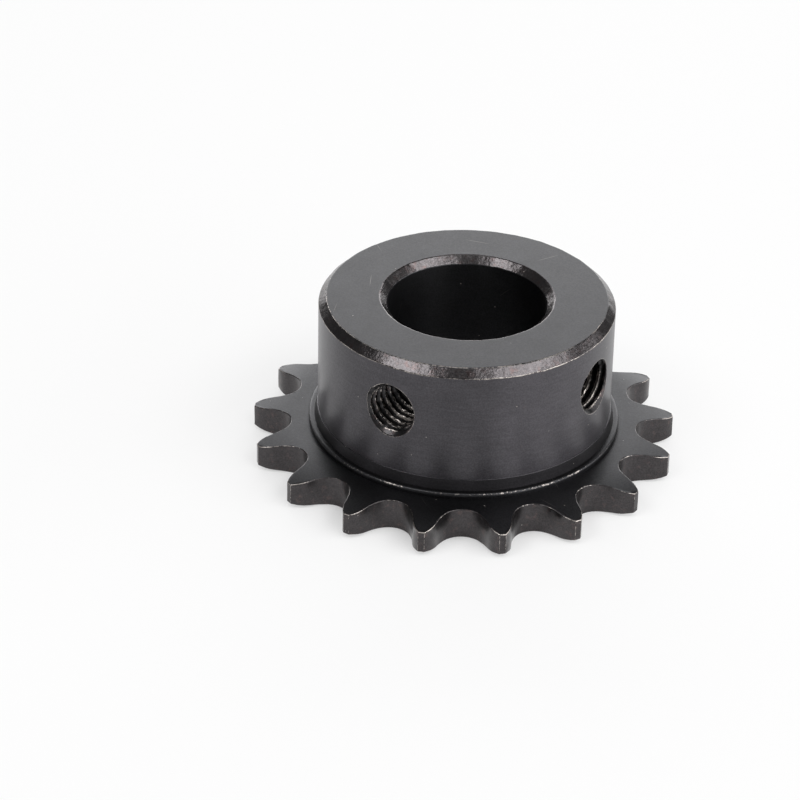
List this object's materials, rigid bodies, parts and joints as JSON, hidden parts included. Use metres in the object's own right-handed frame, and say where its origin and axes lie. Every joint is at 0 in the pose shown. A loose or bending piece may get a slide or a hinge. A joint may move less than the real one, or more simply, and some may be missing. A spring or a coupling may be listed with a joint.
{
  "type": "chain sprocket",
  "caption": "Small roller chain sprocket: a toothed plate with a long hub on one side, a plain shaft bore and tapped set-screw holes through the hub wall, in blackened steel.",
  "frame": {"origin": "centre of the bore at the plate's outer face, which is the face the sprocket lies on", "axes": "+Z along the bore axis from the plate towards the hub's end face; +X from the bore axis out through one set-screw hole; the other set-screw hole is along -Y"},
  "size_m": [0.0375, 0.0375, 0.015],
  "materials": {
    "blackened_steel": "black oxide on turned steel, satin, worn bright on the edges"
  },
  "bodies": {
    "root": {"sprocket": "blackened_steel"}
  },
  "joints": []
}
